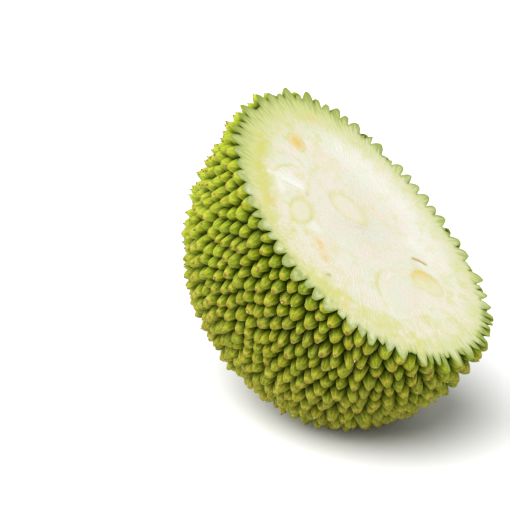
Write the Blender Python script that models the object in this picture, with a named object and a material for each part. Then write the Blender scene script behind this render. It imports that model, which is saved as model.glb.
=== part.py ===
# Half of a young jackfruit, resting on its spiny rind with the cut face up.
#
# The whole half grew as one solid: a tapered, slightly squared egg shape,
# covered in blunt spines and cut flat by one knife stroke. The seeds that
# the knife laid open are separate solids in pockets of the cut face.
# Units are metres, +Z is up, and the origin is the middle of the base.

import math

import bmesh
import bpy
import numpy as np
from mathutils import Euler, Matrix, Vector, kdtree

# Body: half sizes over the spine tips, along the fruit's own three axes
HALF_LENGTH = 0.135
HALF_WIDTH = 0.112
HALF_THICKNESS = 0.080
SQUARENESS = 2.29
TAPER = -0.095
BODY_TURN = (math.radians(-99.3), math.radians(57.9), math.radians(130.1))

# Knife cut: a flat plane, measured from the middle of the body
CUT_TILT = math.radians(39.0)
CUT_AZIMUTH = math.radians(-35.4)
CUT_HEIGHT = 0.026
CUT_CLEARANCE = 0.0003

# Spines: one for each small flower that the fruit grew from
SPINE_PITCH = 0.0105
SPINE_HEIGHT = 0.0088
SPINE_HEIGHT_SPREAD = 0.12
SPINE_LEAN = 0.0007
SPINE_SEED = 7
CROWN_RADIUS = 0.0022
CROWN_CORNERS = 3
FIRST_SPACING = 0.70
SAMPLES_PER_SPINE = 24
BASE_SAMPLES = 20000
RELAX_ROUNDS = 14

# Rest: under the fruit the spines are pressed down to stubs of this height
REST_STUB = 0.0040

# Seeds: place along and across the cut face, half length, half width, turn
SEEDS = {
    "seed_top": (-0.0714, 0.0056, 0.0070, 0.0056, -4),
    "seed_left": (-0.0304, -0.0358, 0.0106, 0.0078, 115),
    "seed_middle": (-0.0159, 0.0023, 0.0143, 0.0086, 15),
    "seed_right": (0.0544, 0.0150, 0.0124, 0.0076, 21),
    "seed_low": (0.0497, -0.0123, 0.0150, 0.0118, 120),
}
SEED_DEPTH = 0.9
SEED_GAP = 0.0004
SEED_SEGMENTS = 18
SEED_RINGS = 8

# Finishes: colour, roughness
RIND_FINISH = ((0.33, 0.43, 0.05), 0.5)
SEED_FINISH = ((0.82, 0.78, 0.50), 0.35)


# Shape rules

def body_axes():
    """Columns are the fruit's length, width and thickness directions."""
    return np.array(Euler(BODY_TURN, "XYZ").to_matrix())


def surface_radius(directions, inset):
    """Distance from the body's middle to its surface along unit directions."""
    local = directions @ body_axes()
    half = np.array((HALF_LENGTH, HALF_WIDTH, HALF_THICKNESS)) - inset
    scaled = np.abs(local / half) ** SQUARENESS
    radius = scaled.sum(axis=1) ** (-1.0 / SQUARENESS)
    for _ in range(8):
        girth = 1.0 + TAPER * radius * local[:, 2] / half[2]
        total = (scaled[:, 0] + scaled[:, 1]) / girth ** SQUARENESS + scaled[:, 2]
        radius = total ** (-1.0 / SQUARENESS)
    return radius


def onto_surface(points, inset):
    """Moves points along their line from the middle onto the surface."""
    directions = points / np.linalg.norm(points, axis=1, keepdims=True)
    return directions * surface_radius(directions, inset)[:, None]


def surface_normals(points, inset):
    """Outward normals, from two short steps across the surface."""
    step = 0.0005
    outward = points / np.linalg.norm(points, axis=1, keepdims=True)
    helper = np.where(np.abs(outward[:, 2:3]) < 0.8, (0.0, 0.0, 1.0), (1.0, 0.0, 0.0))
    across = np.cross(outward, helper)
    across /= np.linalg.norm(across, axis=1, keepdims=True)
    along = np.cross(outward, across)
    side_a = onto_surface(points + step * across, inset) - points
    side_b = onto_surface(points + step * along, inset) - points
    normals = np.cross(side_a, side_b)
    normals *= np.sign((normals * outward).sum(axis=1, keepdims=True))
    return normals / np.linalg.norm(normals, axis=1, keepdims=True)


def cut_normal():
    flat = Vector((math.sin(CUT_TILT), 0.0, math.cos(CUT_TILT)))
    return Matrix.Rotation(CUT_AZIMUTH, 3, "Z") @ flat


def spiral_directions(count):
    """Evenly spread unit directions along a golden-angle spiral."""
    index = np.arange(count) + 0.5
    height = 1.0 - 2.0 * index / count
    angle = index * math.pi * (3.0 - math.sqrt(5.0))
    ring = np.sqrt(1.0 - height ** 2)
    return np.column_stack((ring * np.cos(angle), ring * np.sin(angle), height))


def surface_samples():
    """Many points over the whole surface and the area that each stands for."""
    area = 4.0 * math.pi * HALF_LENGTH * HALF_WIDTH
    count = int(SAMPLES_PER_SPINE * area / SPINE_PITCH ** 2)
    directions = spiral_directions(count)
    points = onto_surface(directions, SPINE_HEIGHT)
    facing = (surface_normals(points, SPINE_HEIGHT) * directions).sum(axis=1)
    radii = np.linalg.norm(points, axis=1)
    return points, 4.0 * math.pi / count * radii ** 2 / facing


def scattered_sites(points, random):
    """Samples taken in random order, where none kept before is too near."""
    kept = np.empty_like(points)
    total = 0
    for index in random.permutation(len(points)):
        gaps = np.linalg.norm(kept[:total] - points[index], axis=1)
        if total == 0 or gaps.min() > FIRST_SPACING * SPINE_PITCH:
            kept[total] = points[index]
            total += 1
    return kept[:total]


def relaxed_sites(sites, points, areas):
    """Moves each site to the middle of the area nearest to it, in turns."""
    samples = [Vector(point) for point in points]
    weighted = points * areas[:, None]
    for _ in range(RELAX_ROUNDS):
        tree = kdtree.KDTree(len(sites))
        for index, site in enumerate(sites):
            tree.insert(site, index)
        tree.balance()
        owners = np.array([tree.find(sample)[1] for sample in samples])
        sums = [np.bincount(owners, weighted[:, axis], len(sites)) for axis in range(3)]
        sites = onto_surface(np.column_stack(sums), SPINE_HEIGHT)
    return sites


def spine_sites():
    """Foot and tip of every spine, measured from the body's middle."""
    random = np.random.default_rng(SPINE_SEED)
    points, areas = surface_samples()
    feet = relaxed_sites(scattered_sites(points, random), points, areas)
    normals = surface_normals(feet, SPINE_HEIGHT)
    spread = random.uniform(-SPINE_HEIGHT_SPREAD, SPINE_HEIGHT_SPREAD, (len(feet), 1))
    lean = random.normal(0.0, SPINE_LEAN, feet.shape)
    tips = feet + normals * SPINE_HEIGHT * (1.0 + spread) + lean
    return feet, tips


# Mesh steps

def fill_open_edges(shape):
    borders = [edge for edge in shape.edges if edge.is_boundary]
    bmesh.ops.holes_fill(shape, edges=borders, sides=0)


def slice_off(shape, point, normal):
    """Cuts the shape flat, drops what lies past the plane and closes it.

    Corners nearly on the plane first move clear of it, which leaves no slivers.
    """
    for vert in shape.verts:
        distance = (vert.co - point).dot(normal)
        if abs(distance) < CUT_CLEARANCE:
            vert.co += (math.copysign(CUT_CLEARANCE, distance) - distance) * normal
    parts = shape.verts[:] + shape.edges[:] + shape.faces[:]
    bmesh.ops.bisect_plane(shape, geom=parts, dist=1e-7, plane_co=point,
                           plane_no=normal, clear_outer=True)
    fill_open_edges(shape)


def cell_rim(spine, foot, axis):
    """The valley corners round one spine, in order round its axis."""
    side = axis.orthogonal()
    rise = axis.cross(side)
    corners = {vert for face in spine.link_faces for vert in face.verts if vert is not spine}

    def bearing(vert):
        offset = vert.co - foot
        return math.atan2(offset.dot(rise), offset.dot(side))

    return sorted(corners, key=bearing)


def raise_spine(shape, rim, foot, tip):
    """Closes one cell with sloping sides up to a small flat crown."""
    axis = (tip - foot).normalized()
    sides = list(zip(rim, rim[1:] + rim[:1]))
    shares = [[] for _ in range(CROWN_CORNERS)]
    for index, side in enumerate(sides):
        shares[int((index + 0.5) * CROWN_CORNERS / len(sides))].append(side)
    crown = []
    for share in shares:
        offset = sum((here.co + following.co - 2.0 * foot for here, following in share), Vector())
        outward = (offset - offset.dot(axis) * axis).normalized()
        crown.append(shape.verts.new(tip + CROWN_RADIUS * outward))
    for share, corner, next_corner in zip(shares, crown, crown[1:] + crown[:1]):
        for here, following in share:
            shape.faces.new((here, following, corner))
        shape.faces.new((share[-1][1], next_corner, corner))
    shape.faces.new(crown)


def spiny_shape():
    """One closed skin: a blunt spine stands on each cell between the valleys."""
    feet, tips = spine_sites()
    shape = bmesh.new()
    for foot in feet:
        shape.verts.new(foot)
    bmesh.ops.convex_hull(shape, input=shape.verts[:])
    spines = shape.verts[:]
    seams = shape.edges[:]
    bmesh.ops.poke(shape, faces=shape.faces[:])
    bmesh.ops.rotate_edges(shape, edges=seams, use_ccw=False)
    feet = [Vector(foot) for foot in feet]
    tips = [Vector(tip) for tip in tips]
    rims = [cell_rim(spine, foot, (tip - foot).normalized())
            for spine, foot, tip in zip(spines, feet, tips)]
    bmesh.ops.delete(shape, geom=spines, context="VERTS")
    for rim, foot, tip in zip(rims, feet, tips):
        raise_spine(shape, rim, foot, tip)
    bmesh.ops.recalc_face_normals(shape, faces=shape.faces[:])
    return shape


def face_frame():
    """The cut face's frame: +X straight downhill and +Z out of the face."""
    normal = cut_normal()
    level = Vector((0.0, 0.0, 1.0)).cross(normal).normalized()
    downhill = level.cross(normal)
    turn = Matrix((downhill, level, normal)).transposed()
    return Matrix.Translation(CUT_HEIGHT * normal) @ turn.to_4x4()


def add_egg(shape, place, grow):
    """Adds a seed's egg shape in the cut face, or its pocket where grown."""
    along, across, half_length, half_width, turn = place
    half = (half_length + grow, half_width + grow, half_width * SEED_DEPTH + grow)
    turned = Matrix.Rotation(math.radians(turn), 4, "Z")
    placed = Matrix.Translation((along, across, 0.0)) @ turned @ Matrix.Diagonal((*half, 1.0))
    bmesh.ops.create_uvsphere(shape, u_segments=SEED_SEGMENTS, v_segments=SEED_RINGS,
                              radius=1.0, matrix=face_frame() @ placed)


# Objects

def finish(name, colour, roughness):
    material = bpy.data.materials.new(name)
    material.use_nodes = True
    shader = material.node_tree.nodes["Principled BSDF"]
    shader.inputs["Base Color"].default_value = (*colour, 1.0)
    shader.inputs["Roughness"].default_value = roughness
    shader.inputs["Metallic"].default_value = 0.0
    return material


def as_object(shape, name, shift, material=None):
    """Places the finished shape over the origin and names it."""
    bmesh.ops.translate(shape, vec=shift, verts=shape.verts)
    mesh = bpy.data.meshes.new(name)
    shape.to_mesh(mesh)
    shape.free()
    obj = bpy.data.objects.new(name, mesh)
    bpy.context.scene.collection.objects.link(obj)
    if material:
        mesh.materials.append(material)
    return obj


def make_half():
    """The cut, spiny body and the shift that stands it over the origin."""
    shape = spiny_shape()
    normal = cut_normal()
    slice_off(shape, CUT_HEIGHT * normal, normal)
    lowest = onto_surface(spiral_directions(BASE_SAMPLES), SPINE_HEIGHT)[:, 2].min()
    floor = Vector((0.0, 0.0, lowest - REST_STUB))
    slice_off(shape, floor, Vector((0.0, 0.0, -1.0)))
    corners = np.array([vert.co for vert in shape.verts])
    low, high = corners.min(axis=0), corners.max(axis=0)
    shift = Vector((-(low[0] + high[0]) / 2.0, -(low[1] + high[1]) / 2.0, -low[2]))
    return as_object(shape, "jackfruit_half", shift, finish("rind", *RIND_FINISH)), shift


def cut_pockets(half, shift):
    """Hollows in the cut face, a hair wider than the seeds they hold."""
    shape = bmesh.new()
    for place in SEEDS.values():
        add_egg(shape, place, SEED_GAP)
    pockets = as_object(shape, "seed_pockets", shift)
    pockets.hide_render = True
    pockets.display_type = "WIRE"
    cut = half.modifiers.new("seed_pockets", "BOOLEAN")
    cut.operation = "DIFFERENCE"
    cut.solver = "EXACT"
    cut.object = pockets


def make_seed(name, place, shift, material):
    """One seed, cut through by the same knife stroke as the flesh."""
    normal = cut_normal()
    shape = bmesh.new()
    add_egg(shape, place, 0.0)
    slice_off(shape, CUT_HEIGHT * normal, normal)
    as_object(shape, name, shift, material)


def main():
    for obj in list(bpy.data.objects):
        bpy.data.objects.remove(obj, do_unlink=True)
    half, shift = make_half()
    cut_pockets(half, shift)
    seed_material = finish("seed", *SEED_FINISH)
    for name, place in SEEDS.items():
        make_seed(name, place, shift, seed_material)


main()
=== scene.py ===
# Looks of the cut jackfruit half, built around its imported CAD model.
#
# The CAD body is replaced by two finer pieces: the spiny rind, grown from the same seeded rule
# as the CAD body, and the cut flesh with its seed pockets. Each CAD seed is replaced by a finer
# one, and dried flower remains sit on some of the spine tips. Units are metres and +Z is up.

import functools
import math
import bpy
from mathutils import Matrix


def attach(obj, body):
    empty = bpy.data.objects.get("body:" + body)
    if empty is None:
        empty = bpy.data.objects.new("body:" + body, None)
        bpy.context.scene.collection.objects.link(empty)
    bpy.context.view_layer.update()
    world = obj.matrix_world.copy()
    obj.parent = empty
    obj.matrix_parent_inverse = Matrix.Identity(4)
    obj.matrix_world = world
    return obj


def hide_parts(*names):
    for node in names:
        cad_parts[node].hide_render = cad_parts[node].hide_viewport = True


bl_info = {
    "name": "Cut Jackfruit Half",
    "version": (1, 0, 0),
    "blender": (4, 5, 0),
    "location": "View3D > Sidebar > Jackfruit",
    "description": "Fine rind, cut flesh, seeds and dried tips for a jackfruit half, and a studio",
    "category": "Object",
}

import bmesh
import bpy
import numpy as np
from bpy.props import FloatProperty, FloatVectorProperty, PointerProperty
from mathutils import Euler, Matrix, Vector, kdtree

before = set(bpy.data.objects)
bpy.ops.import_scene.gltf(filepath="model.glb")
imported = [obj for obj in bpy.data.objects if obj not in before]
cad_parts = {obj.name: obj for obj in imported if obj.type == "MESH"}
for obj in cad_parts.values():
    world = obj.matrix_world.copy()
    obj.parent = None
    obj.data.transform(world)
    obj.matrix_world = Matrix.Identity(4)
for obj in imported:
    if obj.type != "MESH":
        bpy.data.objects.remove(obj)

# Body: half sizes over the spine tips, along the fruit's own three axes, as in the CAD source
HALF_LENGTH = 0.135
HALF_WIDTH = 0.112
HALF_THICKNESS = 0.080
SQUARENESS = 2.29
TAPER = -0.095
BODY_TURN = (math.radians(-99.3), math.radians(57.9), math.radians(130.1))
BODY_MIDDLE = Vector((0.0024289, -0.0081951, 0.1281340))
RADIUS_ROUNDS = 8

# Knife cut: a flat plane, measured from the middle of the body
CUT_TILT = math.radians(39.0)
CUT_AZIMUTH = math.radians(-35.4)
CUT_HEIGHT = 0.026
CUT_CLEARANCE = 0.0002
RIND_TOLERANCE = 1e-7
SEED_TOLERANCE = 1e-6

# Spines: the same places as in the CAD source
SPINE_PITCH = 0.0105
SPINE_HEIGHT = 0.0088
SPINE_HEIGHT_SPREAD = 0.12
SPINE_LEAN = 0.0007
SPINE_SEED = 7
FIRST_SPACING = 0.70
SAMPLES_PER_SPINE = 24
RELAX_ROUNDS = 14

# Spines: how many pitches above the cut they are still grown, and how many meet at a corner
SPARE_PITCHES = 1.5
SPINES_AT_CORNER = 3.0

# Spine rings from the valley up: share of the height, of the width, and how round
SPINE_RINGS = (
    (0.18, 0.93, 0.00),
    (0.48, 0.77, 0.05),
    (0.76, 0.56, 0.10),
    (0.92, 0.35, 0.20),
    (1.00, 0.13, 0.70),
)
SPINE_INSET = 0.0002
SPINE_DROOP = 0.0010
SPINE_GIRTH_SPREAD = 0.06
RIDGE_ANGLE = math.radians(22.0)
SCARRED_SHARE = 0.65
SCAR_CLARITY = 1.5

# Older end, its spines painted lighter where light falls on the upper left, and duller, browner
# underside in painted shade: which way each lies from the middle, where it starts and is full
OLD_END = ((-0.80, 0.00, 0.60), 0.060, 0.100)
# Underside: browner skin, also darkened as painted shade
DULL_SHADED_SIDE = ((-0.35, -0.45, -0.82), 0.040, 0.120)

# Older end: how much thinner its spines are and how many more of them end in a dried remain
OLD_THINNING = 0.22
OLD_EXTRA_TIPS = 0.7

# Dried remains: how they lean and vary, and how many half widths they keep off the cut and floor
TIP_SEED = 21
TIP_LEAN = 0.35
TIP_GIRTHS = (0.6, 1.0)
TIP_LENGTHS = (0.9, 1.9)
TIP_ROOM = 2.0

# Seeds: place along and across the cut face, half length, half width and turn in degrees
SEEDS = {
    "seed_top": (-0.0714, 0.0056, 0.0070, 0.0056, -4),
    "seed_left": (-0.0304, -0.0358, 0.0106, 0.0078, 115),
    "seed_middle": (-0.0159, 0.0023, 0.0143, 0.0086, 15),
    "seed_right": (0.0544, 0.0150, 0.0124, 0.0076, 21),
    "seed_low": (0.0497, -0.0123, 0.0150, 0.0118, 120),
}
SEED_DEPTH = 0.9
SEED_LEVELS = 16
POCKET_CORNERS = 48
POCKET_RINGS = 6
CRISP_ANGLE = math.radians(40.0)

# Rings of a seed's cut face from its edge in: share of the way out and how much coat shows
SEED_CUT_RINGS = ((0.94, 1.0), (0.86, 0.9), (0.76, 0.4), (0.62, 0.1), (0.40, 0.0), (0.15, 0.0))
SEED_INSET = 0.0001
SEED_CROWN = 0.0001

# Seeds: strengths of the coat, of the heart's green and of the ripeness, and the bearing in
# degrees of the riper side, if there is one
SEED_LOOKS = {
    "seed_top": (0.45, 0.0, 0.95, None),
    "seed_left": (0.70, 0.35, 0.0, None),
    "seed_middle": (0.50, 0.12, 0.0, None),
    "seed_right": (0.55, 0.70, 0.80, 155),
    "seed_low": (0.15, 0.05, 0.0, None),
}
RIPE_FADE = 0.80

# Round a seed: how far its colours reach into the flesh, and how strong its ripeness is there
COAT_REACH = 0.20
RIPE_REACH_STRENGTH = 0.3

# Cut face's mesh, in pitches: room along the rim, room round a seed and reach of its hole
RIM_ROOM = 0.7
SEED_ROOM = 1.5
HOLE_REACH = 4.0

# Cut face: how fine its fibres are round the face and along them
FIBRES_ROUND = 60.0
FIBRES_OUT = 90.0

# Cut face: how far in from the rim the green skin shows, and how far off it is still measured
SKIN_WIDTH = 0.0012
RIM_REACH = 0.004

# Cut face: where along it the wide yellow-green margin starts to fade and is gone
MARGIN_SPAN = (-0.075, -0.020)

# Cut face: how far to the near side the rim's blotches start and are full
NEAR_RIM_SPAN = (0.030, 0.060)

# Strokes on the cut face, along and across it: start, end, half width (mm) and strength
FACE_MARKS = {
    "stain": (
        (-6.6, -42.1, -3.6, -43.4, 2.6, 0.9), (-5, -42.6, 3, -47, 3.8, 0.5),
        (-48, -55, -44, -49, 4.5, 0.18), (-49, -4, -39, -17, 1.6, 0.24),
        (-39, -17, -18, -30, 1.4, 0.15), (-18, -30, 0, -32.5, 1.4, 0.15),
        (-39.2, -18.3, -38.2, -19, 1.6, 0.6), (0, -32.5, 15, -23.5, 1.1, 0.25),
        (34.5, 21.3, 42.5, 27, 1.4, 0.4), (-86, 0, -84.5, 2, 2.2, 0.3),
        (-82.5, 32.5, -80.5, 35.5, 3.5, 0.3), (44, 7.5, 48, 13, 2.2, 0.6),
        (55, 20, 59, 18, 1.2, 0.55), (32, -56, 37, -62, 3, 0.25),
        (-60, 15, -40, 20, 5, 0.12), (-25, 17, 15, 24, 5, 0.12),
    ),
    "lime": (
        (-62, -33, -63, -23, 0.9, 0.6), (-63, -23, -60, -14, 0.9, 0.7),
        (-60, -14, -56, -10, 0.9, 0.5), (-86, -18, -69, -37, 5, 0.75),
        (-69, -37, -46, -53, 7.5, 0.75), (-42, -59, -20, -64, 8, 0.55),
        (31, -18, 36, -26, 1.3, 0.7), (36, -26, 43, -29, 1.2, 0.6),
        (31, -18, 30, -11, 1.5, 0.4), (30, -11, 37, 1, 1.8, 0.3),
        (23, -43, 26, -38, 4, 0.3), (73, -18, 80, -5, 6, 0.35),
        (45, -52, 80, -33, 8, 0.5), (68, 20, 56, 33, 5, 0.3),
        (-10, -66, 30, -61, 9, 0.6), (-50, 2, -50, 16, 4, 0.15),
        (-4, -43.2, 4, -47.8, 5, 0.55),
    ),
    "pale": (
        (-42, -20, -64, -36, 1, 0.65), (-43, -20.5, -62, -32, 0.8, 0.75),
        (-43, -20, -60, -28, 0.9, 0.7), (-44, -19.5, -61, -24.5, 0.7, 0.65),
        (-44, -18, -59, -20.5, 0.7, 0.55), (-56, -32, -50, -36, 4, 0.5),
        (24, 29, 33, 33, 6, 0.4), (-22, -39, -16, -35, 4, 0.3),
        (8, -62, 13, -70, 3, 0.6), (-55, 38, 5, 48, 13, 0.35),
        (5, 48, 45, 35, 13, 0.25), (40, -12, 52, -22, 7, 0.3),
    ),
    "slit": (
        (34.6, 19.5, 38.5, 23.2, 0.8, 0.9), (38.5, 23.2, 43, 25.8, 0.7, 0.9),
        (-37.9, -20.6, -36.6, -21.6, 0.6, 0.5), (13.5, -56.5, 14.5, -54.5, 1.2, 0.5),
    ),
}

# Patterns: scale and detail of the noise, values where it fades in, and strength if not 1
RIPE_PATCHES = (130.0, 3.0, 0.42, 0.66)
FRECKLES = (420.0, 4.0, 0.40, 0.70)
GRAIN = (900.0, 3.0, 0.45, 0.70)
MOTTLE = (120.0, 5.0, 0.47, 0.72)
GREEN_BLOTCHES = (230.0, 4.0, 0.40, 0.62, 0.60)
PALE_BLOTCHES = (170.0, 4.0, 0.50, 0.70, 0.30)

# Clouds in the flesh: scale and detail of the broad and the fine ones, and the fine ones' share
CLOUDS = (70.0, 4.0)
FINE_CLOUDS = (330.0, 4.0)
FINE_CLOUD_SHARE = 0.5

# Rind: between which shares of a spine's height each mark fades in, and strength if not 1
# Painted shade of the valleys gives way to the spine's side colour over this band
VALLEY_SHADE_BAND = (0.05, 0.72)
RIPE_BAND = (0.45, 0.95, 0.55)
LINE_BAND = (0.30, 0.85)
LIP_BAND = (0.55, 0.82)
LIP_END_BAND = (0.86, 0.97)
DRY_BAND = (0.72, 0.98, 0.50)
SCAR_BAND = (0.91, 0.98)

# Rind: how near to a ridge its pale line fades in, and how far it stands out; the line is paler
# skin with a painted highlight on it
RIDGE_BAND = (0.45, 1.0)
LINE_RELIEF = 0.4

# Rind: how strongly its other marks show, and the tint of its waxy film
REGION_STRENGTH = 0.6
FRECKLE_STRENGTH = 0.15
# Pale ridge lines and lips near the tips: paler skin with a painted highlight on it
HIGHLIGHT_LINE_STRENGTH = 0.35
LIP_HIGHLIGHT_STRENGTHS = (0.06, 0.34)
BLOOM_TINT = (1.0, 0.95, 0.20, 1.0)

# Flesh: depths, out to the valleys at 1, where each mark fades in, and strength if not 1
MOTTLE_DEPTHS = (0.30, 0.90)
STREAK_DEPTHS = (0.20, 0.90)
WIDE_DEPTHS = (0.68, 0.96)
NARROW_DEPTHS = (0.76, 1.02, 0.72)
TORN_DEPTHS = (0.95, 1.13)
TOOTH_DEPTHS = (0.92, 1.03)

# Flesh, seeds and tips: values of the noise where each mark fades in, and strength if not 1
STREAK_BAND = (0.54, 0.70, 0.45)
CLOUD_BAND = (0.63, 0.87)
LIME_BAND = (0.55, 0.82)
STAIN_BAND = (0.25, 0.75)
RIPE_SEED_BAND = (0.15, 0.65)
FRESH_BAND = (0.42, 0.60)

# Flesh, seeds and tips: how strongly their other marks show
MOTTLE_STRENGTHS = (0.20, 0.60)
GRAIN_STRENGTH = 0.35
PALEST = 0.9
TORN_STRENGTHS = (0.80, 0.35)
SKIN_STRENGTH = 0.8
TIP_GRAIN_STRENGTH = 0.4

# Frayed edges: how far a pattern moves them and what is taken back, and the margin's part
SCAR_FRAY = (0.12, 0.06)
FADE_FRAY = (0.22, 0.16)
TORN_FRAY = (0.34, 0.17)
MARGIN_TORN = 0.05

# Studio: its floor, where the camera aims, and which way the two lights shine
FLOOR_REACH = 6.0
FLOOR_COLOUR = (0.92, 0.92, 0.92, 1.0)
CAMERA_AIM = Vector((-0.0535, 0.0167, 0.1131))
KEY_DIRECTION = (0.14, 0.46, -0.88)
SIDE_DIRECTION = (0.78, 0.02, -0.62)


# Sizes and colours that a user would change

def colour_property(name, thing, default):
    return FloatVectorProperty(name=name, description="Colour of " + thing, default=default,
                               subtype="COLOR", size=3, min=0.0, max=1.0)


def number_property(name, description, default, low=0.0, high=1.0, **kind):
    return FloatProperty(name=name, description=description, default=default,
                         min=low, max=high, **kind)


share_property = functools.partial(number_property, subtype="FACTOR")
length_property = functools.partial(number_property, unit="LENGTH")
light_property = functools.partial(number_property, high=20.0)
spread_property = functools.partial(number_property, high=math.pi, subtype="ANGLE")


class RindProperties(bpy.types.PropertyGroup):
    # Valley: dark green deepened into painted shade between the spines
    valley_shade: colour_property("Valley", "the valleys between the spines", (0.012, 0.026, 0.001))
    side: colour_property("Side", "the yellowest spines", (0.172, 0.226, 0.001))
    side_deep: colour_property("Side Deep", "the greenest spines", (0.080, 0.138, 0.001))
    # Older end's yellower spines, also painted lighter where light falls on the upper left
    side_old_lit: colour_property("Side Old", "the older end's spines", (0.38, 0.48, 0.025))
    # Underside's browner spines, also darkened as painted shade
    side_dull_shaded: colour_property("Side Dull", "the duller spines underneath", (0.13, 0.105, 0.002))
    browned: colour_property("Browned", "the riper patches", (0.31, 0.215, 0.006))
    # Ridge: pale colour of the freckles, and of ridge lines and lips that carry a painted
    # highlight
    ridge: colour_property("Ridge", "the spines' edges", (0.56, 0.60, 0.08))
    dry: colour_property("Dry", "the dry skin round a scar", (0.50, 0.44, 0.06))
    speck: colour_property("Speck", "the scar at a spine's tip", (0.21, 0.140, 0.020))
    roughness: share_property("Roughness", "How dull the rind is", 0.5)
    bloom: share_property("Bloom", "Strength of the pale waxy film on the rind", 0.6)


class FleshProperties(bpy.types.PropertyGroup):
    centre: colour_property("Centre", "the middle of the cut face", (0.715, 0.655, 0.55))
    centre_cool: colour_property("Centre Cool", "the greener clouds", (0.665, 0.675, 0.545))
    fade: colour_property("Fade", "the flesh near the rind", (0.56, 0.59, 0.235))
    margin: colour_property("Margin", "the yellowest flesh", (0.58, 0.56, 0.11))
    skin: colour_property("Skin", "the cut skin at the rim", (0.235, 0.315, 0.045))
    stain: colour_property("Stain", "the small ripe patches", (0.73, 0.51, 0.15))
    pale: colour_property("Pale", "the driest fibres", (0.80, 0.81, 0.77))
    slit: colour_property("Slit", "the small brown splits", (0.33, 0.235, 0.05))
    roughness: share_property("Roughness", "How dull the cut flesh is", 0.42)
    pitch: length_property("Pitch", "Spacing of the cut face's mesh", 0.001, 0.0005, 0.01)


class SeedProperties(bpy.types.PropertyGroup):
    coat: colour_property("Coat", "the coat round a cut seed", (0.64, 0.63, 0.24))
    ripe: colour_property("Ripe", "a ripe seed", (0.71, 0.50, 0.12))
    roughness: share_property("Roughness", "How dull the cut seeds are", 0.4)
    gap: length_property("Gap", "Room round a seed in its pocket", 0.00005, 0.0, 0.002)


class TipProperties(bpy.types.PropertyGroup):
    share: share_property("Share", "Share of the spines with a dried remain", 0.30)
    size: length_property("Size", "Half width of a dried remain", 0.0007, 0.0002, 0.002)
    cream: colour_property("Cream", "the palest dried remains", (0.66, 0.54, 0.28))
    brown: colour_property("Brown", "the darkest dried remains", (0.20, 0.115, 0.035))
    roughness: share_property("Roughness", "How dull the dried remains are", 0.85)


class StageProperties(bpy.types.PropertyGroup):
    view_tilt: FloatProperty(name="View Tilt", description="How far the camera looks down",
                             default=math.radians(25.0), subtype="ANGLE")
    view_distance: length_property("View Distance", "Camera to the aim point", 1.30, 0.3, 5.0)
    lens: number_property("Lens", "Focal length in millimetres", 136.96, 20.0, 300.0)
    key_strength: light_property("Key Strength", "Soft light from above", 2.5)
    key_softness: spread_property("Key Softness", "Width of the key light", math.radians(40.0))
    side_strength: light_property("Side Strength", "Softer light from the left", 2.4)
    side_softness: spread_property("Side Softness", "Width of the side light", math.radians(75.0))
    sky: number_property("Sky", "Brightness of the white surroundings", 0.41, high=5.0)


# Shape rules, as in the CAD source

def body_axes():
    """Columns are the fruit's length, width and thickness directions."""
    return np.array(Euler(BODY_TURN, "XYZ").to_matrix())


def surface_radius(directions, inset):
    """Distance from the body's middle to its surface along unit directions."""
    local = directions @ body_axes()
    half = np.array((HALF_LENGTH, HALF_WIDTH, HALF_THICKNESS)) - inset
    scaled = np.abs(local / half) ** SQUARENESS
    radius = scaled.sum(axis=1) ** (-1.0 / SQUARENESS)
    for _ in range(RADIUS_ROUNDS):
        girth = 1.0 + TAPER * radius * local[:, 2] / half[2]
        total = (scaled[:, 0] + scaled[:, 1]) / girth ** SQUARENESS + scaled[:, 2]
        radius = total ** (-1.0 / SQUARENESS)
    return radius


def onto_surface(points, inset):
    """Moves points along their line from the middle onto the surface."""
    directions = points / np.linalg.norm(points, axis=1, keepdims=True)
    return directions * surface_radius(directions, inset)[:, None]


def surface_normals(points, inset):
    """Outward normals, from two short steps across the surface."""
    step = 0.0005
    outward = points / np.linalg.norm(points, axis=1, keepdims=True)
    sideways = np.abs(outward[:, 2:3]) < 0.8
    helper = np.where(sideways, (0.0, 0.0, 1.0), (1.0, 0.0, 0.0))
    across = np.cross(outward, helper)
    across /= np.linalg.norm(across, axis=1, keepdims=True)
    along = np.cross(outward, across)
    side_a = onto_surface(points + step * across, inset) - points
    side_b = onto_surface(points + step * along, inset) - points
    normals = np.cross(side_a, side_b)
    normals *= np.sign((normals * outward).sum(axis=1, keepdims=True))
    return normals / np.linalg.norm(normals, axis=1, keepdims=True)


def surface_samples():
    """Many points over the whole surface and the area that each stands for."""
    area = 4.0 * math.pi * HALF_LENGTH * HALF_WIDTH
    count = int(SAMPLES_PER_SPINE * area / SPINE_PITCH ** 2)
    index = np.arange(count) + 0.5
    height = 1.0 - 2.0 * index / count
    angle = index * math.pi * (3.0 - math.sqrt(5.0))
    ring = np.sqrt(1.0 - height ** 2)
    directions = np.column_stack((ring * np.cos(angle), ring * np.sin(angle), height))
    points = onto_surface(directions, SPINE_HEIGHT)
    facing = (surface_normals(points, SPINE_HEIGHT) * directions).sum(axis=1)
    radii = np.linalg.norm(points, axis=1)
    return points, 4.0 * math.pi / count * radii ** 2 / facing


def scattered_sites(points, random):
    """Samples taken in random order, where none kept before is too near."""
    kept = np.empty_like(points)
    total = 0
    for index in random.permutation(len(points)):
        gaps = np.linalg.norm(kept[:total] - points[index], axis=1)
        if total == 0 or gaps.min() > FIRST_SPACING * SPINE_PITCH:
            kept[total] = points[index]
            total += 1
    return kept[:total]


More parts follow.
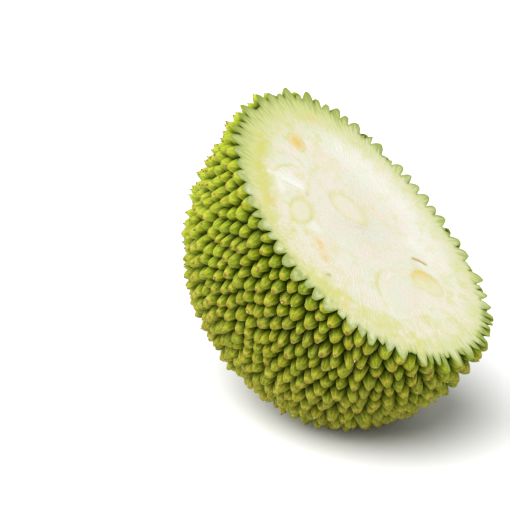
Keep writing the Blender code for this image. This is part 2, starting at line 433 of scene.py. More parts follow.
def relaxed_sites(sites, points, areas):
    """Moves each site to the middle of the area nearest to it, in turns."""
    samples = [Vector(point) for point in points]
    weighted = points * areas[:, None]
    for _ in range(RELAX_ROUNDS):
        tree = kdtree.KDTree(len(sites))
        for index, site in enumerate(sites):
            tree.insert(site, index)
        tree.balance()
        owners = np.array([tree.find(sample)[1] for sample in samples])
        sums = [np.bincount(owners, weighted[:, axis], len(sites)) for axis in range(3)]
        sites = onto_surface(np.column_stack(sums), SPINE_HEIGHT)
    return sites


@functools.cache
def spine_sites():
    """Foot and tip of every spine, measured from the body's middle."""
    random = np.random.default_rng(SPINE_SEED)
    points, areas = surface_samples()
    feet = relaxed_sites(scattered_sites(points, random), points, areas)
    normals = surface_normals(feet, SPINE_HEIGHT)
    spread = random.uniform(-SPINE_HEIGHT_SPREAD, SPINE_HEIGHT_SPREAD, (len(feet), 1))
    lean = random.normal(0.0, SPINE_LEAN, feet.shape)
    tips = feet + normals * SPINE_HEIGHT * (1.0 + spread) + lean
    return feet, tips


def share_of_region(tips, region):
    """How far each spine belongs to one side of the fruit, from 0 to 1."""
    direction, start, full = region
    return np.interp(tips @ np.array(direction), (start, full), (0.0, 1.0))


def cut_normal():
    """Which way the cut face looks."""
    flat = Vector((math.sin(CUT_TILT), 0.0, math.cos(CUT_TILT)))
    return Matrix.Rotation(CUT_AZIMUTH, 3, "Z") @ flat


def cut_point():
    """The cut face's origin, straight out from the body's middle."""
    return BODY_MIDDLE + CUT_HEIGHT * cut_normal()


def face_frame():
    """The cut face's frame: +X straight downhill and +Z out of the face."""
    normal = cut_normal()
    level = Vector((0.0, 0.0, 1.0)).cross(normal).normalized()
    downhill = level.cross(normal)
    turn = Matrix((downhill, level, normal)).transposed()
    return Matrix.Translation(cut_point()) @ turn.to_4x4()


# Mesh steps

def linked(name, data):
    """Puts a new object with this data into the scene."""
    thing = bpy.data.objects.new(name, data)
    bpy.context.scene.collection.objects.link(thing)
    return thing


def meshed(shape, name, material):
    """Turns a finished shape into an object of one material."""
    mesh = bpy.data.meshes.new(name)
    shape.to_mesh(mesh)
    shape.free()
    mesh.materials.append(material)
    return linked(name, mesh)


def as_piece(shape, name, material, slot, *nodes):
    """Turns a finished shape into a smooth piece that rides on the body."""
    for face in shape.faces:
        face.smooth = True
    piece = meshed(shape, name, material)
    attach(piece, "root")
    if nodes:
        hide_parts(*nodes)


def spine_cells(feet):
    """One flat cell for each spine near or below the cut, and the spines' numbers."""
    shape = bmesh.new()
    for foot in feet:
        shape.verts.new(BODY_MIDDLE + Vector(foot))
    bmesh.ops.convex_hull(shape, input=shape.verts[:])
    sites = shape.verts[:]
    seams = shape.edges[:]
    bmesh.ops.poke(shape, faces=shape.faces[:])
    bmesh.ops.rotate_edges(shape, edges=seams, use_ccw=False)
    number = shape.faces.layers.int.new("number")
    for index, site in enumerate(sites):
        for face in site.link_faces:
            face[number] = index
    bmesh.ops.dissolve_verts(shape, verts=sites)
    normal = np.array(cut_normal())
    above = feet @ normal > CUT_HEIGHT + SPARE_PITCHES * SPINE_PITCH
    far = [face for face in shape.faces if above[face[number]]]
    bmesh.ops.delete(shape, geom=far, context="FACES")
    bmesh.ops.recalc_face_normals(shape, faces=shape.faces[:])
    return shape, number


def spine_looks(tips):
    """Each spine's tone, scar, age (painted lighter) and dullness (painted shade), from 0 to 1."""
    random = np.random.default_rng(SPINE_SEED + 1)
    tone = random.random(len(tips))
    scar = SCAR_CLARITY * random.uniform(1.0 - 1.0 / SCARRED_SHARE, 1.0, len(tips))
    return {
        "tone": tone,
        "scar": np.clip(scar, 0.0, 1.0),
        "age": share_of_region(tips, OLD_END),
        "dull": share_of_region(tips, DULL_SHADED_SIDE),
    }


def raise_spines(shape, number, feet, tips):
    """Lifts every cell into a ridged spine, ring by ring, up to its scar."""
    values = spine_looks(tips)
    layers = {name: shape.verts.layers.float.new(name) for name in ("height", "ridge", *values)}
    bmesh.ops.bisect_edges(shape, edges=shape.edges[:], cuts=1)
    for vert in shape.verts:
        vert[layers["ridge"]] = 1.0 if len(vert.link_edges) > 2 else 0.0
    cells = shape.faces[:]
    rims = []
    for cell in cells:
        foot = BODY_MIDDLE + Vector(feet[cell[number]])
        tip = BODY_MIDDLE + Vector(tips[cell[number]])
        axis = (tip - foot).normalized()
        offsets = [vert.co - foot for vert in cell.verts]
        flat = [offset - offset.dot(axis) * axis for offset in offsets]
        mean = sum(offset.length for offset in flat) / len(flat)
        rounds = [offset.normalized() * mean for offset in flat]
        ridges = [vert[layers["ridge"]] for vert in cell.verts]
        looks = {name: float(amounts[cell[number]]) for name, amounts in values.items()}
        rims.append((foot, tip, offsets, rounds, ridges, looks))
        for vert in cell.verts:
            for name in ("tone", "age", "dull"):
                vert[layers[name]] += looks[name] / SPINES_AT_CORNER
    for height, width, roundness in SPINE_RINGS:
        bmesh.ops.inset_individual(shape, faces=cells, thickness=SPINE_INSET)
        for cell, (foot, tip, offsets, rounds, ridges, looks) in zip(cells, rims):
            middle = foot.lerp(tip, height)
            middle.z -= SPINE_DROOP * height ** 2
            swell = SPINE_GIRTH_SPREAD * (2.0 * looks["tone"] - 1.0) - OLD_THINNING * looks["age"]
            girth = width * (1.0 + swell * height)
            for vert, offset, circle, ridge in zip(cell.verts, offsets, rounds, ridges):
                vert.co = middle + girth * offset.lerp(circle, roundness)
                for name, amount in (("height", height), ("ridge", ridge), *looks.items()):
                    vert[layers[name]] = amount
    keep_ridges_crisp(shape, layers["height"], layers["ridge"])


def keep_ridges_crisp(shape, height, ridge):
    """Stops the shading from blending a spine's sides across its ridges."""
    for edge in shape.edges:
        first, second = edge.verts
        upright = first[height] != second[height]
        if upright and min(first[ridge], second[ridge]) > 0.5 and edge.is_manifold:
            edge.smooth = edge.calc_face_angle() < RIDGE_ANGLE


def clear_of_cut(shape):
    """Moves corners that almost touch the knife's plane a little off it."""
    normal = cut_normal()
    point = cut_point()
    for vert in shape.verts:
        distance = (vert.co - point).dot(normal)
        if abs(distance) < CUT_CLEARANCE:
            vert.co += (math.copysign(CUT_CLEARANCE, distance) - distance) * normal


def cut_open(shape, tolerance):
    """Cuts a shape at the knife's plane and drops what lies above it."""
    parts = shape.verts[:] + shape.edges[:] + shape.faces[:]
    bmesh.ops.bisect_plane(shape, geom=parts, dist=tolerance, plane_co=cut_point(),
                           plane_no=cut_normal(), clear_outer=True)


def press_on_floor(shape):
    """Flattens the spines that the fruit rests on."""
    for vert in shape.verts:
        vert.co.z = max(vert.co.z, 0.0)


def depth_in_body(points):
    """Share of the way from the body's middle to the valleys, for each point."""
    inner = points - np.array(BODY_MIDDLE)
    length = np.linalg.norm(inner, axis=1)
    return length / surface_radius(inner / length[:, None], SPINE_HEIGHT)


def seed_matrix(place, grow):
    """Places a unit ball as a seed in the cut face, or as its pocket where grown."""
    along, across, half_length, half_width, turn = place
    half = (half_length + grow, half_width + grow, half_width * SEED_DEPTH + grow)
    turned = Matrix.Rotation(math.radians(turn), 4, "Z")
    return (face_frame() @ Matrix.Translation((along, across, 0.0)) @ turned
            @ Matrix.Diagonal((*half, 1.0)))


def rim_faces(rind):
    """The rind's cut edges as flat faces in a new shape, the largest one first."""
    shape = bmesh.new()
    shape.from_mesh(rind.data)
    inner = [edge for edge in shape.edges if not edge.is_boundary]
    bmesh.ops.delete(shape, geom=inner, context="EDGES")
    loose = [vert for vert in shape.verts if not vert.link_edges]
    bmesh.ops.delete(shape, geom=loose, context="VERTS")
    bmesh.ops.holes_fill(shape, edges=shape.edges[:], sides=0)
    turn_outwards(shape, shape.faces)
    return shape, sorted(shape.faces, key=lambda face: -face.calc_area())


def turn_outwards(shape, faces):
    """Turns those of the cut's flat faces that look inwards."""
    normal = cut_normal()
    wrong = [face for face in faces if face.normal.dot(normal) < 0.0]
    bmesh.ops.reverse_faces(shape, faces=wrong)


def flat_places(verts):
    """Where corners lie along and across the cut face."""
    inside = np.array(face_frame().inverted())
    points = np.array([vert.co for vert in verts])
    return (points @ inside[:3, :3].T + inside[:3, 3])[:, :2]


def against_rim(places, rim):
    """Which places lie inside the rim, and how far each one near it is from it."""
    order = np.argsort(places[:, 1])
    sorted_places = places[order]
    inside = np.zeros(len(places), bool)
    nearest = np.full(len(places), RIM_REACH)
    for start, end in zip(rim, np.roll(rim, -1, axis=0)):
        low, high = sorted((start[1], end[1]))
        first, last = np.searchsorted(sorted_places[:, 1], (low - RIM_REACH, high + RIM_REACH))
        near = sorted_places[first:last]
        side = end - start
        share = np.clip((near - start) @ side / (side @ side), 0.0, 1.0)
        away = np.linalg.norm(near - start - share[:, None] * side, axis=1)
        nearest[first:last] = np.minimum(nearest[first:last], away)
        level = (near[:, 1] - start[1]) / (side[1] or 1.0)
        crossed = (start[1] > near[:, 1]) != (end[1] > near[:, 1])
        inside[first:last] ^= crossed & (near[:, 0] < start[0] + level * side[0])
    back = np.argsort(order)
    return inside[back], nearest[back]


def seed_share(places, place, grow):
    """How far out places are from a seed's middle, where 1 is its edge."""
    along, across, half_length, half_width, turn = place
    turned = np.array(Matrix.Rotation(math.radians(turn), 2))
    local = (places - (along, across)) @ turned / (half_length + grow, half_width + grow)
    return np.linalg.norm(local, axis=1)


def lay_grid(shape, rim, pitch):
    """Adds a fine square mesh that fills the rim, apart from the seed pockets."""
    reach = np.abs(rim).max()
    count = int(2.0 * reach / pitch)
    grid = bmesh.ops.create_grid(shape, x_segments=count, y_segments=count, size=reach,
                                 matrix=face_frame())["verts"]
    places = flat_places(grid)
    inside, away = against_rim(places, rim)
    spare = ~inside | (away < RIM_ROOM * pitch)
    for place in SEEDS.values():
        spare |= seed_share(places, place, SEED_ROOM * pitch) < 1.0
    dropped = [vert for vert, out in zip(grid, spare) if out]
    while dropped:
        bmesh.ops.delete(shape, geom=dropped, context="VERTS")
        grid = [vert for vert in grid if vert.is_valid]
        dropped = [vert for vert in grid if border_edges(vert) > 2 or not vert.link_faces]
    return grid


def border_edges(vert):
    """How many edges round a corner have a face on one side only."""
    return sum(not edge.is_manifold for edge in vert.link_edges)


def fill_between(shape, edges):
    """Fills the flat ring between two loops with faces that look out of the cut."""
    made = bmesh.ops.triangle_fill(shape, edges=edges, use_beauty=True, normal=cut_normal())
    turn_outwards(shape, only(bmesh.types.BMFace, made))


def only(kind, made):
    """Those parts of an operator's result that are of one kind."""
    return [part for part in made["geom"] if isinstance(part, kind)]


def sink_pocket(shape, place, gap, pitch):
    """Joins a seed's hole to the mesh around it and rounds out its pocket."""
    near = seed_matrix(place, HOLE_REACH * pitch).inverted()
    edges = [edge for edge in shape.edges if edge.is_boundary
             and (near @ edge.verts[0].co).length < 1.0]
    pocket = seed_matrix(place, gap)
    circle = bmesh.ops.create_circle(shape, segments=POCKET_CORNERS, radius=1.0,
                                     matrix=pocket)["verts"]
    loop = list({edge for vert in circle for edge in vert.link_edges})
    fill_between(shape, edges + loop)
    inside = pocket.inverted()
    for step in range(1, POCKET_RINGS):
        angle = step * math.pi / 2.0 / POCKET_RINGS
        down = Vector((0.0, 0.0, math.sin(angle)))
        made = bmesh.ops.extrude_edge_only(shape, edges=loop)
        loop = only(bmesh.types.BMEdge, made)
        for vert in only(bmesh.types.BMVert, made):
            level = inside @ vert.co
            level.z = 0.0
            vert.co = pocket @ (level.normalized() * math.cos(angle) - down)
    bmesh.ops.holes_fill(shape, edges=loop, sides=0)


def cut_seed(shape, place, looks):
    """Cuts a whole seed flat and writes its coat and ripeness into its corners."""
    coat_strength, heart_strength, ripe_strength, ripe_bearing = looks
    normal = cut_normal()
    cut_open(shape, SEED_TOLERANCE)
    borders = [edge for edge in shape.edges if edge.is_boundary]
    lid = bmesh.ops.holes_fill(shape, edges=borders, sides=0)["faces"]
    placed = seed_matrix(place, 0.0)
    inside = placed.inverted()
    ring = [(inside @ vert.co).normalized() for vert in lid[0].verts]
    coat = shape.verts.layers.float.new("coat")
    for vert in shape.verts:
        vert[coat] = coat_strength
    for share, strength in SEED_CUT_RINGS:
        bmesh.ops.inset_individual(shape, faces=lid, thickness=SEED_INSET)
        for vert, spot in zip(lid[0].verts, ring):
            vert.co = placed @ (spot * share) + SEED_CROWN * (1.0 - share ** 4) * normal
            vert[coat] = coat_strength * strength + heart_strength * (1.0 - share)
    ripe = shape.verts.layers.float.new("ripe")
    for vert in shape.verts:
        spot = inside @ vert.co
        if ripe_bearing is None:
            share = 1.0 - RIPE_FADE * min(spot.length, 1.0) ** 2
        else:
            turn = math.radians(ripe_bearing - place[4])
            share = min(max(spot.x * math.cos(turn) + spot.y * math.sin(turn), 0.0), 1.0)
        vert[ripe] = ripe_strength * share
    bmesh.ops.recalc_face_normals(shape, faces=shape.faces[:])
    keep_edges_crisp(shape)


def keep_edges_crisp(shape):
    """Stops the shading from blending a flat cut into the walls beside it."""
    for edge in shape.edges:
        if edge.is_manifold and edge.calc_face_angle() > CRISP_ANGLE:
            edge.smooth = False


def mark_strength(points, marks):
    """How strongly each face point is marked by any of the soft strokes."""
    strength = np.zeros(len(points))
    for *sizes, full in marks:
        *ends, half_width = np.array(sizes) / 1000.0
        start, end = np.reshape(ends, (2, 2))
        stroke = end - start
        share = np.clip((points - start) @ stroke / (stroke @ stroke), 0.0, 1.0)
        distance = np.linalg.norm(points - start - share[:, None] * stroke, axis=1) / half_width
        strength = np.maximum(strength, full * np.exp(-distance ** 2))
    return strength


def mark_face(shape, rim):
    """Writes the marks of the cut face into named values on its corners."""
    places = flat_places(shape.verts)
    values = {name: mark_strength(places, marks) for name, marks in FACE_MARKS.items()}
    values["depth"] = depth_in_body(np.array([vert.co for vert in shape.verts]))
    values["skin"] = np.exp(-(against_rim(places, rim)[1] / SKIN_WIDTH) ** 2)
    values["margin"] = np.interp(places[:, 0], MARGIN_SPAN, (1.0, 0.0))
    values["near_rim"] = np.interp(-places[:, 1], NEAR_RIM_SPAN, (0.0, 1.0))
    for seed, place in SEEDS.items():
        coat_strength, _, ripe_strength, ripe_bearing = SEED_LOOKS[seed]
        reach = (seed_share(places, place, 0.0) - 1.0) / COAT_REACH
        halo = np.exp(-reach ** 2)
        values["lime"] = np.maximum(values["lime"], coat_strength * halo)
        if ripe_bearing is None:
            ripe_halo = RIPE_REACH_STRENGTH * ripe_strength * halo
            values["stain"] = np.maximum(values["stain"], ripe_halo)
    for name, amounts in values.items():
        layer = shape.verts.layers.float.new(name)
        for vert, amount in zip(shape.verts, amounts):
            vert[layer] = amount


def plant_tip(shape, tip, axis, size, random):
    """Adds one small, shrivelled remain on a spine's tip."""
    lean = Vector(random.normal(0.0, TIP_LEAN, 3))
    turn = (axis + lean).to_track_quat("Z", "Y").to_matrix().to_4x4()
    girths = random.uniform(*TIP_GIRTHS, 2)
    stretch = Matrix.Diagonal((*girths, random.uniform(*TIP_LENGTHS), 1.0))
    return bmesh.ops.create_icosphere(shape, subdivisions=1, radius=size,
                                      matrix=Matrix.Translation(tip) @ turn @ stretch)["verts"]


# Materials

def feed(node, inputs):
    """Links or sets some of a node's inputs, which are given by their names or numbers."""
    for name, value in inputs.items():
        if isinstance(value, bpy.types.NodeSocket):
            node.id_data.links.new(value, node.inputs[name])
        else:
            node.inputs[name].default_value = value


def new_node(tree, kind, inputs, **options):
    node = tree.nodes.new("ShaderNode" + kind)
    for name, value in options.items():
        setattr(node, name, value)
    feed(node, inputs)
    return node


def new_material(name):
    """A new material and its shader."""
    material = bpy.data.materials.new(name)
    material.use_nodes = True
    return material, material.node_tree.nodes["Principled BSDF"]


def attributes(shader, *names):
    """The values that a piece's corners carry under these names."""
    return [new_node(shader.id_data, "Attribute", {}, attribute_name=name).outputs["Fac"]
            for name in names]


def object_place(shader):
    return new_node(shader.id_data, "TexCoord", {}).outputs["Object"]


def noise(place, scale, detail=3.0):
    inputs = {"Vector": place, "Scale": scale, "Detail": detail}
    return new_node(place.id_data, "TexNoise", inputs).outputs["Fac"]


def ramped(value, band):
    """Turns a band's low end into 0 and its high end into its strength, or 1, smoothly."""
    inputs = {"Value": value, **dict(zip(("From Min", "From Max", "To Max"), band))}
    node = new_node(value.id_data, "MapRange", inputs, interpolation_type="SMOOTHSTEP")
    return node.outputs["Result"]


def patches(place, pattern):
    """Soft patches of noise, with 0 between them."""
    scale, detail, *band = pattern
    return ramped(noise(place, scale, detail), band)


def calculated(operation, *values):
    node = new_node(values[0].id_data, "Math", dict(enumerate(values)), operation=operation)
    return node.outputs["Value"]


def product(*values):
    return functools.reduce(functools.partial(calculated, "MULTIPLY"), values)


def between(share, strengths):
    """Goes from the first strength at 0 to the second one at 1."""
    first, last = strengths
    return calculated("MULTIPLY_ADD", share, last - first, first)


def frayed(value, pattern, fray):
    """Moves a value up and down with a pattern, so that its bands get uneven edges."""
    reach, back = fray
    return calculated("MULTIPLY_ADD", pattern, reach, calculated("SUBTRACT", value, back))


def mixed(factor, first, second):
    inputs = {"Factor": factor, "A": first, "B": second}
    for name in ("A", "B"):
        if not isinstance(inputs[name], bpy.types.NodeSocket):
            inputs[name] = (*inputs[name], 1.0)
    return new_node(factor.id_data, "Mix", inputs, data_type="RGBA").outputs["Result"]


def painted(colour, *coats):
    """Lays tints over a colour, each as strongly as the product of its amounts."""
    for tint, *amounts in coats:
        colour = mixed(product(*amounts), colour, tint)
    return colour


def uneven_gloss(pattern, middle, spread):
    """A roughness that varies a little with a pattern, around its middle value."""
    return calculated("MULTIPLY_ADD", pattern, spread, middle - spread / 2.0)


def bumps(height, strength, distance):
    inputs = {"Height": height, "Strength": strength, "Distance": distance}
    return new_node(height.id_data, "Bump", inputs).outputs["Normal"]


def rind_material(settings):
    """Green skin: valleys in painted shade, ridges pale with painted highlight, brown scar at some
    tips.
    """
    material, shader = new_material("rind_skin")
    place = object_place(shader)
    height, ridge, scarred = attributes(shader, "height", "ridge", "scar")
    tone, age, dull = attributes(shader, "tone", "age", "dull")
    freckles = patches(place, FRECKLES)
    # Pale lines along the ridges and lips near the tips: paler skin with a painted highlight
    ridge_highlight_line = product(ramped(ridge, RIDGE_BAND), ramped(height, LINE_BAND))
    shoulder = calculated("SUBTRACT", ramped(height, LIP_BAND), ramped(height, LIP_END_BAND))
    lip_highlight = product(shoulder, between(freckles, LIP_HIGHLIGHT_STRENGTHS))
    colour = painted(
        mixed(tone, settings.side, settings.side_deep),
        # Upper end painted lighter where the light falls, over its yellower older skin
        (settings.side_old_lit, age, REGION_STRENGTH),
        # Underside painted darker as shade, over its browner skin
        (settings.side_dull_shaded, dull, REGION_STRENGTH),
        (settings.browned, patches(place, RIPE_PATCHES), ramped(height, RIPE_BAND)),
        (settings.ridge, freckles, FRECKLE_STRENGTH),
        # Ridge lines and lips painted pale, partly as a painted highlight
        (settings.ridge, calculated("MAXIMUM", product(ridge_highlight_line, HIGHLIGHT_LINE_STRENGTH), lip_highlight)))
    scar_height = frayed(height, noise(place, scale=900.0), SCAR_FRAY)
    colour = painted(
        # Painted shade in the valleys between the spines, fading out up each spine's side
        mixed(ramped(height, VALLEY_SHADE_BAND), settings.valley_shade, colour),
        (settings.dry, ramped(height, DRY_BAND), scarred),
        (settings.speck, ramped(scar_height, SCAR_BAND), scarred))
    relief = calculated("MULTIPLY_ADD", ridge_highlight_line, LINE_RELIEF, noise(place, scale=700.0))
    feed(shader, {
        "Base Color": colour,
        "Roughness": uneven_gloss(freckles, settings.roughness, spread=0.2),
        "Specular IOR Level": 0.06,
        "Sheen Weight": settings.bloom,
        "Sheen Roughness": 0.3,
        "Sheen Tint": BLOOM_TINT,
        "Normal": bumps(relief, strength=0.35, distance=0.0006),
    })
    return material


def vector_step(operation, inputs, output="Vector"):
    return new_node(inputs[0].id_data, "VectorMath", inputs, operation=operation).outputs[output]


def radial_fibres(place):
    """Fine streaks that run from the middle of the cut face to its rim."""
    face = face_frame()
    inputs = {"Vector": place, "Location": face.to_translation(), "Rotation": face.to_euler()}
    flat = new_node(place.id_data, "Mapping", inputs, vector_type="TEXTURE").outputs["Vector"]
    spread = vector_step("SCALE", {0: vector_step("NORMALIZE", {0: flat}), "Scale": FIBRES_ROUND})
    outwards = product(vector_step("LENGTH", {0: flat}, "Value"), FIBRES_OUT)
    rise = new_node(place.id_data, "CombineXYZ", {"Z": outwards}).outputs["Vector"]
    return noise(vector_step("ADD", {0: spread, 1: rise}), scale=1.0)


def clouded(place, settings):
    """The flesh's uneven cream, and the noise behind it."""
    fine = noise(place, *FINE_CLOUDS)
    uneven = calculated("MULTIPLY_ADD", fine, FINE_CLOUD_SHARE, noise(place, *CLOUDS))
    return uneven, mixed(ramped(uneven, CLOUD_BAND), settings.centre, settings.centre_cool)


def flesh_material(settings):
    """Cream flesh that turns yellow-green towards the rind, with fine fibres."""
    material, shader = new_material("cut_flesh")
    place = object_place(shader)
    depth, margin, near_rim, skin = attributes(shader, "depth", "margin", "near_rim", "skin")
    pale, lime, stain, slit = attributes(shader, "pale", "lime", "stain", "slit")
    fibres = radial_fibres(place)
    uneven, cream = clouded(place, settings)
    mottled = between(ramped(depth, MOTTLE_DEPTHS), MOTTLE_STRENGTHS)
    dry = calculated("MULTIPLY_ADD", patches(place, GRAIN), GRAIN_STRENGTH, pale)
    fading = frayed(depth, uneven, FADE_FRAY)
    faded = calculated("MAXIMUM", product(ramped(fading, WIDE_DEPTHS), margin),
                       ramped(fading, NARROW_DEPTHS))
    torn = calculated("MULTIPLY_ADD", margin, MARGIN_TORN, frayed(depth, fibres, TORN_FRAY))
    teeth = product(ramped(depth, TOOTH_DEPTHS), near_rim)
    colour = painted(
        cream,
        (settings.margin, patches(place, MOTTLE), mottled),
        (settings.fade, ramped(fibres, STREAK_BAND), ramped(depth, STREAK_DEPTHS)),
        (settings.pale, calculated("MINIMUM", dry, PALEST)),
        (settings.fade, faded),
        (settings.margin, lime, ramped(uneven, LIME_BAND)),
        (settings.stain, stain, ramped(uneven, STAIN_BAND)),
        (settings.skin, ramped(torn, TORN_DEPTHS), between(near_rim, TORN_STRENGTHS)),
        (settings.skin, teeth, patches(place, GREEN_BLOTCHES)),
        (settings.pale, teeth, patches(place, PALE_BLOTCHES)),
        (settings.skin, skin, SKIN_STRENGTH),
        (settings.slit, slit))
    feed(shader, {
        "Base Color": colour,
        "Roughness": uneven_gloss(fibres, settings.roughness, spread=0.3),
        "Specular IOR Level": 0.25,
        "Normal": bumps(calculated("ADD", fibres, uneven), strength=0.5, distance=0.0006),
    })
    return material


def seed_material(settings, flesh):
    """Pale kernel inside a yellow-green coat, orange where it is ripe."""
    material, shader = new_material("cut_seed")
    place = object_place(shader)
    coat, ripe = attributes(shader, "coat", "ripe")
    uneven, cream = clouded(place, flesh)
    grain = patches(place, GRAIN)
    colour = painted(
        cream,
        (flesh.pale, grain, GRAIN_STRENGTH),
        (settings.coat, coat),
        (settings.ripe, ripe, ramped(uneven, RIPE_SEED_BAND)))
    feed(shader, {
        "Base Color": colour,
        "Roughness": uneven_gloss(uneven, settings.roughness, spread=0.3),
        "Specular IOR Level": 0.25,
        "Normal": bumps(calculated("ADD", grain, uneven), strength=0.35, distance=0.0005),
    })
    return material


def tip_material(settings):
    """Dry, dull flower remains, some cream and some brown."""
    material, shader = new_material("dry_flower")
    place = object_place(shader)
    grain = noise(place, scale=700.0)
    fresh = calculated("SUBTRACT", noise(place, scale=90.0), *attributes(shader, "age"))
    feed(shader, {
        "Base Color": painted(
            mixed(ramped(fresh, FRESH_BAND), settings.brown, settings.cream),
            (settings.brown, grain, TIP_GRAIN_STRENGTH)),
        "Roughness": uneven_gloss(grain, settings.roughness, spread=0.2),
        "Specular IOR Level": 0.1,
        "Normal": bumps(grain, strength=0.4, distance=0.0004),
    })
    return material


# Operators

class JACKFRUIT_OT_rind(bpy.types.Operator):
    """Grow the spiny rind below the knife's cut"""
    bl_idname = "jackfruit.rind"
    bl_label = "Spiny Rind"

    def execute(self, context):
        feet, tips = spine_sites()
        shape, number = spine_cells(feet)
        raise_spines(shape, number, feet, tips)
        clear_of_cut(shape)
        cut_open(shape, RIND_TOLERANCE)
        press_on_floor(shape)
        material = rind_material(context.scene.jackfruit_rind)
        as_piece(shape, "fine_rind", material, "rind", "jackfruit_half")
        return {"FINISHED"}


class JACKFRUIT_OT_flesh(bpy.types.Operator):
    """Lay the cut flesh across the rind's open edge, with a pocket for each seed"""
    bl_idname = "jackfruit.flesh"
    bl_label = "Cut Flesh"

    def execute(self, context):
        settings = context.scene.jackfruit_flesh
        pitch = settings.pitch
        shape, lids = rim_faces(bpy.data.objects["fine_rind"])
        rim_edges = list(lids[0].edges)
        rim = flat_places(lids[0].verts)
        bmesh.ops.delete(shape, geom=lids[:1], context="FACES_ONLY")
        grid = lay_grid(shape, rim, pitch)
        for place in SEEDS.values():
            sink_pocket(shape, place, context.scene.jackfruit_seeds.gap, pitch)
        border = {edge for vert in grid for edge in vert.link_edges if edge.is_boundary}
        fill_between(shape, rim_edges + list(border))
        mark_face(shape, rim)
        keep_edges_crisp(shape)
        material = flesh_material(settings)
        as_piece(shape, "cut_flesh", material, "flesh", "jackfruit_half")
        return {"FINISHED"}


class JACKFRUIT_OT_seeds(bpy.types.Operator):
    """Set the cut seeds in their pockets"""
    bl_idname = "jackfruit.seeds"
    bl_label = "Cut Seeds"

    def execute(self, context):
        settings = context.scene.jackfruit_seeds
        material = seed_material(settings, context.scene.jackfruit_flesh)
        for name, place in SEEDS.items():
            shape = bmesh.new()
            bmesh.ops.create_uvsphere(shape, u_segments=POCKET_CORNERS, v_segments=SEED_LEVELS,
                                      radius=1.0, matrix=seed_matrix(place, 0.0))
            cut_seed(shape, place, SEED_LOOKS[name])
            as_piece(shape, "cut_" + name, material, "seed", name)
        return {"FINISHED"}


class JACKFRUIT_OT_tips(bpy.types.Operator):
    """Put dried flower remains on some of the spine tips"""
    bl_idname = "jackfruit.tips"
    bl_label = "Dried Tips"

    def execute(self, context):
        settings = context.scene.jackfruit_tips
        random = np.random.default_rng(TIP_SEED)
        feet, tips = spine_sites()
        ages = share_of_region(tips, OLD_END)
        chosen = random.random(len(feet)) < settings.share + OLD_EXTRA_TIPS * ages
        room = TIP_ROOM * settings.size
        planted = chosen & (tips @ np.array(cut_normal()) < CUT_HEIGHT - room)
        shape = bmesh.new()
        layer = shape.verts.layers.float.new("age")
        for foot, tip, age in zip(feet[planted], tips[planted], ages[planted]):
            place = BODY_MIDDLE + Vector(tip) - Vector((0.0, 0.0, SPINE_DROOP))
            if place.z > room:
                axis = Vector(tip - foot).normalized()
                for vert in plant_tip(shape, place, axis, settings.size, random):
                    vert[layer] = age
        as_piece(shape, "dried_tips", tip_material(settings), "rind")
        return {"FINISHED"}


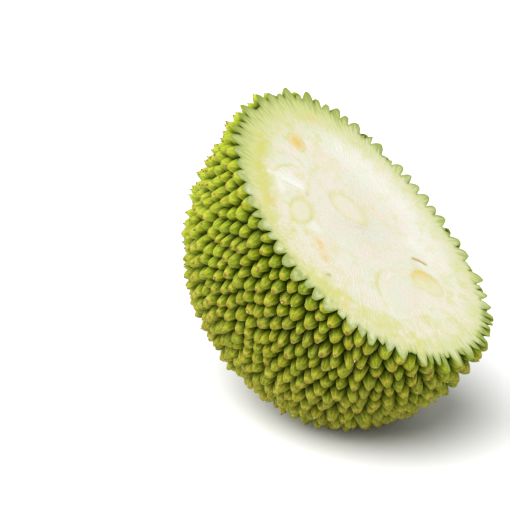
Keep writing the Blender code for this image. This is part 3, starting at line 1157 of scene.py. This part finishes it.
class JACKFRUIT_OT_stage(bpy.types.Operator):
    """Set up the floor, the lights and the camera"""
    bl_idname = "jackfruit.stage"
    bl_label = "Studio"

    def execute(self, context):
        scene = context.scene
        settings = scene.jackfruit_stage
        shape = bmesh.new()
        bmesh.ops.create_grid(shape, x_segments=1, y_segments=1, size=FLOOR_REACH)
        material, shader = new_material("pale_floor")
        feed(shader, {"Base Color": FLOOR_COLOUR, "Roughness": 0.9, "Specular IOR Level": 0.0})
        floor = meshed(shape, "floor", material)
        world = bpy.data.worlds.new("white_surroundings")
        world.use_nodes = True
        feed(world.node_tree.nodes["Background"],
             {"Color": (1.0, 1.0, 1.0, 1.0), "Strength": settings.sky})
        scene.world = world
        for name, strength, softness, direction in (
                ("key_light", settings.key_strength, settings.key_softness, KEY_DIRECTION),
                ("side_light", settings.side_strength, settings.side_softness, SIDE_DIRECTION)):
            light = bpy.data.lights.new(name, "SUN")
            light.energy = strength
            light.angle = softness
            lamp = linked(name, light)
            lamp.rotation_euler = Vector(direction).to_track_quat("-Z", "Y").to_euler()
        camera = bpy.data.cameras.new("camera")
        camera.lens = settings.lens
        eye = linked("camera", camera)
        back = Vector((0.0, -math.cos(settings.view_tilt), math.sin(settings.view_tilt)))
        eye.location = CAMERA_AIM + settings.view_distance * back
        eye.rotation_euler = (math.pi / 2.0 - settings.view_tilt, 0.0, 0.0)
        scene.camera = eye
        scene.view_settings.view_transform = "Standard"
        return {"FINISHED"}


class JACKFRUIT_PT_sidebar(bpy.types.Panel):
    bl_idname = "JACKFRUIT_PT_sidebar"
    bl_label = "Jackfruit Half"
    bl_space_type = "VIEW_3D"
    bl_region_type = "UI"
    bl_category = "Jackfruit"

    def draw(self, context):
        for operator, group in zip(OPERATORS, PROPERTY_GROUPS):
            box = self.layout.box()
            box.operator(operator.bl_idname)
            for name in PROPERTY_GROUPS[group].__annotations__:
                box.prop(getattr(context.scene, group), name)


PROPERTY_GROUPS = {
    "jackfruit_rind": RindProperties,
    "jackfruit_flesh": FleshProperties,
    "jackfruit_seeds": SeedProperties,
    "jackfruit_tips": TipProperties,
    "jackfruit_stage": StageProperties,
}
OPERATORS = (JACKFRUIT_OT_rind, JACKFRUIT_OT_flesh, JACKFRUIT_OT_seeds, JACKFRUIT_OT_tips,
             JACKFRUIT_OT_stage)
CLASSES = (*PROPERTY_GROUPS.values(), *OPERATORS, JACKFRUIT_PT_sidebar)


def register():
    for cls in CLASSES:
        bpy.utils.register_class(cls)
    for name, group in PROPERTY_GROUPS.items():
        setattr(bpy.types.Scene, name, PointerProperty(type=group))


def unregister():
    for name in PROPERTY_GROUPS:
        delattr(bpy.types.Scene, name)
    for cls in reversed(CLASSES):
        bpy.utils.unregister_class(cls)


def main():
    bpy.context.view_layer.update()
    register()
    bpy.ops.jackfruit.rind()
    bpy.ops.jackfruit.flesh()
    bpy.ops.jackfruit.seeds()
    bpy.ops.jackfruit.tips()
    bpy.ops.jackfruit.stage()


if __name__ == "__main__":
    main()
